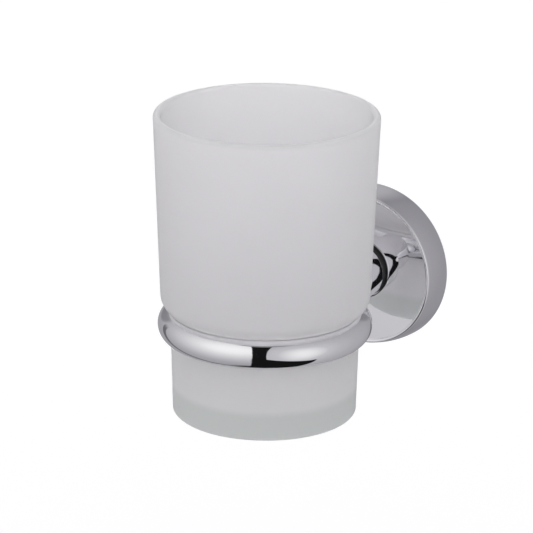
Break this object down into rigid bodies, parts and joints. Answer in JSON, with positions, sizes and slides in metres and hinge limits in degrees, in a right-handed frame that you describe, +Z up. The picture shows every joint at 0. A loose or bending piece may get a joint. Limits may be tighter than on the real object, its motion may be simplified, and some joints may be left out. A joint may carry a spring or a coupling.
{
  "type": "toothbrush holder",
  "caption": "Wall-mounted toothbrush holder: a frosted glass tumbler hangs by its shoulder in a chrome ring on an arm from a round wall rosette.",
  "frame": {"origin": "on the wall plane, at the centre of the rosette and midway between the two wall screw holes", "axes": "+Y into the wall (the holder stands out towards -Y), +Z up, +X to the right of somebody who faces the wall"},
  "size_m": [0.0704, 0.1057, 0.0973],
  "materials": {
    "frosted_glass": "frosted, matt inside and out",
    "chrome": "polished plating",
    "screw_steel": "zinc plated",
    "black_rubber": "matt moulded",
    "bracket_steel": "pressed, zinc plated"
  },
  "bodies": {
    "holder": {"wall_bracket": "bracket_steel", "rosette": "chrome", "gasket": "black_rubber", "arm": "chrome", "holder_ring": "chrome", "ring_screw": "screw_steel", "flat_washer": "screw_steel", "spring_washer": "screw_steel", "hex_nut": "screw_steel"},
    "tumbler_body": {"tumbler": "frosted_glass"},
    "grub_body": {"grub_screw": "screw_steel"}
  },
  "joints": [
    {"name": "tumbler_lift", "type": "slide", "parent": "holder", "child": "tumbler_body", "axis": [0, 0, 1], "range_m": [0, 0.06]},
    {"name": "grub_screw_turn", "type": "hinge", "parent": "holder", "child": "grub_body", "pos_m": [0, -0.004, -0.0229], "axis": [0, 0, 1], "continuous": true}
  ]
}
